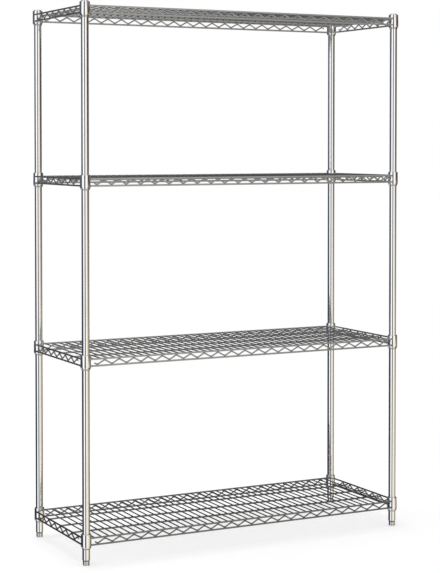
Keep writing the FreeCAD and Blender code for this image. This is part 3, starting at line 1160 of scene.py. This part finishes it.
GROUND = (
    ((-180,), (0.160, 0.158, 0.152)),
    ((-78,), (0.120, 0.122, 0.126)),
    ((-66, -20), (0.9, 0.9, 0.9)),
    ((-14, 6), (0.3, 0.3, 0.3)),
    ((12,), (0.90, 0.89, 0.86)),
    ((72,), (0.86, 0.82, 0.72)),
    ((104,), (0.64, 0.60, 0.52)),
    ((124,), (0.160, 0.150, 0.135)),
)
CEILING = (
    ((-180, -78), (0.100, 0.101, 0.104)),
    ((-66, 100), (0.280, 0.280, 0.284)),
    ((130,), (0.100, 0.101, 0.104)),
)
SKIRTING = (
    ((-180, -142), (0.250, 0.246, 0.246)),
    ((-138, -128), (0.070, 0.068, 0.068)),
    ((-124, -102), (0.95, 0.95, 0.95)),
    ((-96, -63), (0.050, 0.055, 0.064)),
    ((-57, -24), (1.05, 1.06, 1.08)),
    ((-18, 7), (0.100, 0.102, 0.106)),
    ((13,), (1.10, 1.07, 0.97)),
    ((40,), (1.00, 0.95, 0.84)),
    ((56,), (0.92, 0.86, 0.73)),
    ((64, 146), (0.130, 0.104, 0.084)),
    ((151, 166), (0.85, 0.84, 0.82)),
    ((171, 175), (0.1, 0.1, 0.1)),
)
SKYLIGHT = (1.05, 1.05, 1.05)
WALL_CHANGE = (-0.16, 0.04)
WALL_TOP = (0.10, 0.22)
SKYLIGHT_EDGE = (0.72, 0.80)
WALL_FOOT = (0.25, 0.31)
GROUND_EDGE = (0.52, 0.58)
FRONT_LEFT = math.radians(-75), math.radians(-68)
FRONT_RIGHT = math.radians(40), math.radians(48)
FRONT_RAISE = 0.12


def wall_ramp(angle, tones):
    """Tones round the room, back to the first, from a turn in radians."""
    stops = [((degrees + 180) / 360, colour) for turns, colour in tones for degrees in turns]
    stops.append((1.0, tones[0][1]))
    return angle.add("ShaderNodeValToRGB", {"stops": stops}, {"Fac": angle / (2 * math.pi) + 0.5})


def studio_world(studio):
    """World of plain walls round the object, seen as white by the camera."""
    world = bpy.data.worlds.new("studio_walls")
    bpy.context.scene.world = world
    world.use_nodes = True
    world.node_tree.nodes.clear()
    start = Signal(world.node_tree)
    x, y, z = split(start.add("ShaderNodeTexCoord").out("Generated"))
    turn = studio.camera_turn
    towards = x * -math.sin(turn) + y * -math.cos(turn)
    right = x * math.cos(turn) + y * -math.sin(turn)
    angle = x.maths("ARCTAN2", right, towards)
    walls = z.between(*WALL_CHANGE).blend(wall_ramp(angle, LOWER_WALLS), wall_ramp(angle, UPPER_WALLS))
    above = z.between(*SKYLIGHT_EDGE).blend(wall_ramp(angle, CEILING), SKYLIGHT)
    front = angle.between(*FRONT_LEFT) - angle.between(*FRONT_RIGHT)
    upper = (z - front * FRONT_RAISE).between(*WALL_TOP).blend(walls, above)
    under = (z * -1).between(*GROUND_EDGE).blend(wall_ramp(angle, SKIRTING), wall_ramp(angle, GROUND))
    room = (z * -1).between(*WALL_FOOT).blend(upper, under)
    seen = start.add("ShaderNodeBackground", inputs={"Color": opaque(WHITE), "Strength": 1.0})
    lit = start.add("ShaderNodeBackground", inputs={"Color": room, "Strength": studio.room_level})
    camera_ray = start.add("ShaderNodeLightPath").out("Is Camera Ray")
    mixed = start.add("ShaderNodeMixShader", inputs={0: camera_ray, 1: lit, 2: seen})
    mixed.add("ShaderNodeOutputWorld", inputs={"Surface": mixed})


def floor_material(studio):
    """Pale floor that keeps soft shadows near the object and runs out into white."""
    material, place = new_material("pale_floor")
    distance = place.add("ShaderNodeVectorMath", {"operation": "LENGTH"}, {"Vector": place}, output="Value")
    far = distance.between(*FLOOR_FADE)
    cloth = place.add("ShaderNodeBsdfDiffuse", inputs={"Color": opaque(studio.floor_colour)})
    glow = place.add("ShaderNodeEmission", inputs={"Color": opaque(WHITE), "Strength": 1.0})
    camera_ray = place.add("ShaderNodeLightPath").out("Is Camera Ray")
    share = (studio.floor_glow + far * (1 - studio.floor_glow)) * camera_ray
    close_material(place.add("ShaderNodeMixShader", inputs={0: share, 1: cloth, 2: glow}))
    return material


class SHELVING_OT_stage(bpy.types.Operator):
    """Lay the floor, light the studio and set the camera"""
    bl_idname = "shelving.stage"
    bl_label = "Set Stage"

    def execute(self, context):
        scene = context.scene
        studio = scene.shelving.studio
        scene.view_settings.view_transform = "Standard"
        studio_world(studio)

        half = FLOOR_SIZE / 2
        mesh = bpy.data.meshes.new("studio_floor")
        mesh.from_pydata([(-half, -half, 0), (half, -half, 0), (half, half, 0), (-half, half, 0)], [],
                         [(0, 1, 2, 3)])
        mesh.materials.append(floor_material(studio))
        floor = new_object("studio_floor", mesh)
        floor.visible_glossy = False

        lamp = bpy.data.lights.new("overhead_softbox", "AREA")
        lamp.size = KEY_SIZE
        lamp.energy = studio.key_power
        key = new_object("overhead_softbox", lamp)
        key.location = KEY_PLACE
        aim = Vector(KEY_AIM) - key.location
        key.rotation_euler = aim.to_track_quat("-Z", "Y").to_euler()
        key.visible_glossy = False

        lens = bpy.data.cameras.new("studio_camera")
        lens.lens = studio.camera_lens
        lens.shift_x, lens.shift_y = studio.camera_shift
        camera = new_object("studio_camera", lens)
        camera.location = studio.camera_place
        camera.rotation_euler = (math.pi / 2 - studio.camera_dip, 0.0, -studio.camera_turn)
        scene.camera = camera
        return {"FINISHED"}


# Panel and registration

STEPS = ("posts", "shelf_wires", "welds", "collars", "sleeves", "caps", "levelling", "stage")


class SHELVING_PT_panel(bpy.types.Panel):
    """Settings and steps of the shelving unit"""
    bl_idname = "SHELVING_PT_panel"
    bl_label = "Wire Shelving"
    bl_space_type = "VIEW_3D"
    bl_region_type = "UI"
    bl_category = "Shelving"

    def draw(self, context):
        layout = self.layout
        shelving = context.scene.shelving
        for step in STEPS:
            layout.operator("shelving." + step)
        for group in (shelving.sizes, shelving.finishes, shelving.studio):
            box = layout.box()
            for name in group.__annotations__:
                box.prop(group, name)


CLASSES = (
    ShelvingSizes, ShelvingFinishes, ShelvingStudio, ShelvingSettings,
    SHELVING_OT_posts, SHELVING_OT_shelf_wires, SHELVING_OT_welds, SHELVING_OT_collars,
    SHELVING_OT_sleeves, SHELVING_OT_caps, SHELVING_OT_levelling, SHELVING_OT_stage, SHELVING_PT_panel,
)


def register():
    for item in CLASSES:
        bpy.utils.register_class(item)
    bpy.types.Scene.shelving = PointerProperty(type=ShelvingSettings)


def unregister():
    del bpy.types.Scene.shelving
    for item in reversed(CLASSES):
        bpy.utils.unregister_class(item)


def main():
    register()
    for step in STEPS:
        getattr(bpy.ops.shelving, step)()


if __name__ == "__main__":
    main()
